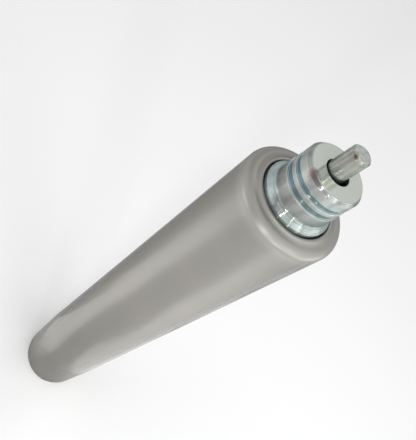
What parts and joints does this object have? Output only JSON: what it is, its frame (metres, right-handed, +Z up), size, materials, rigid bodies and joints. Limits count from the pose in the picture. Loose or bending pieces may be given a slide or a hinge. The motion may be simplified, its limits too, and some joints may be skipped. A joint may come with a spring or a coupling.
{
  "type": "chair gas lift cylinder",
  "caption": "Chair gas lift: a tapered steel column holding a sliding, swivelling gas spring with a grooved head and a press-down release pin.",
  "frame": {"origin": "centre of the column's foot, on the plane it stands on", "axes": "+Z up the cylinder's axis towards the release pin; the release pin rests a little towards -X in its hole"},
  "size_m": [0.05, 0.05, 0.3329],
  "materials": {
    "column_coat": "satin silver-grey coat",
    "zinc_plate": "turned steel, bright zinc plate with a blue cast",
    "pin_zinc": "turned steel, pale zinc plate",
    "black_tube": "smooth gloss black coat",
    "plain_steel": "plain pressed or drawn steel",
    "bearing_steel": "hardened ground steel",
    "ground_rod": "ground and hard-chromed",
    "spring_steel": "blackened spring steel",
    "guide_metal": "turned aluminium",
    "valve_brass": "turned brass",
    "cage_brass": "pressed brass sheet",
    "sleeve_plastic": "moulded black plastic",
    "bush_plastic": "low-friction plastic",
    "rubber": "black nitrile rubber"
  },
  "bodies": {
    "column": {"column_tube": "column_coat", "bottom_plate": "plain_steel", "guide_sleeve": "sleeve_plastic", "bearing_race_lower": "bearing_steel"},
    "bearing_cage": {"ball_cage": "cage_brass", "bearing_balls": "bearing_steel"},
    "rod": {"piston_rod": "ground_rod", "bearing_race_upper": "bearing_steel", "support_washer": "plain_steel", "rubber_buffer": "rubber", "clip_washer": "plain_steel", "retaining_clip": "spring_steel", "piston": "guide_metal", "piston_seal": "rubber", "piston_washer": "plain_steel"},
    "lift": {"pressure_tube": "black_tube", "tapered_head": "zinc_plate", "inner_cylinder": "plain_steel", "end_washer": "plain_steel", "rod_seal": "rubber", "rod_guide": "guide_metal", "rod_bush": "bush_plastic", "guide_ring_seal": "rubber", "valve_body": "valve_brass", "valve_ring_seal": "rubber", "spigot_ring_seal": "rubber", "stem_seal": "rubber", "stem_seal_retainer": "bush_plastic", "valve_seat_seal": "rubber"},
    "release": {"release_pin": "pin_zinc", "valve_stem": "bearing_steel"}
  },
  "joints": [
    {"name": "swivel", "type": "hinge", "parent": "column", "child": "rod", "pos_m": [0, 0, 0.0124], "axis": [0, 0, 1], "continuous": true},
    {"name": "cage_roll", "type": "hinge", "parent": "column", "child": "bearing_cage", "pos_m": [0, 0, 0.0124], "axis": [0, 0, 1], "continuous": true},
    {"name": "lift_slide", "type": "slide", "parent": "rod", "child": "lift", "axis": [0, 0, 1], "range_m": [0, 0.16]},
    {"name": "release_press", "type": "slide", "parent": "lift", "child": "release", "axis": [0, 0, -1], "range_m": [0, 0.0035], "stiffness_N_per_m": 3000, "springref_m": -0.0005}
  ],
  "couplings": [
    {"joint": "cage_roll", "follows": "swivel", "ratio": 0.5}
  ]
}
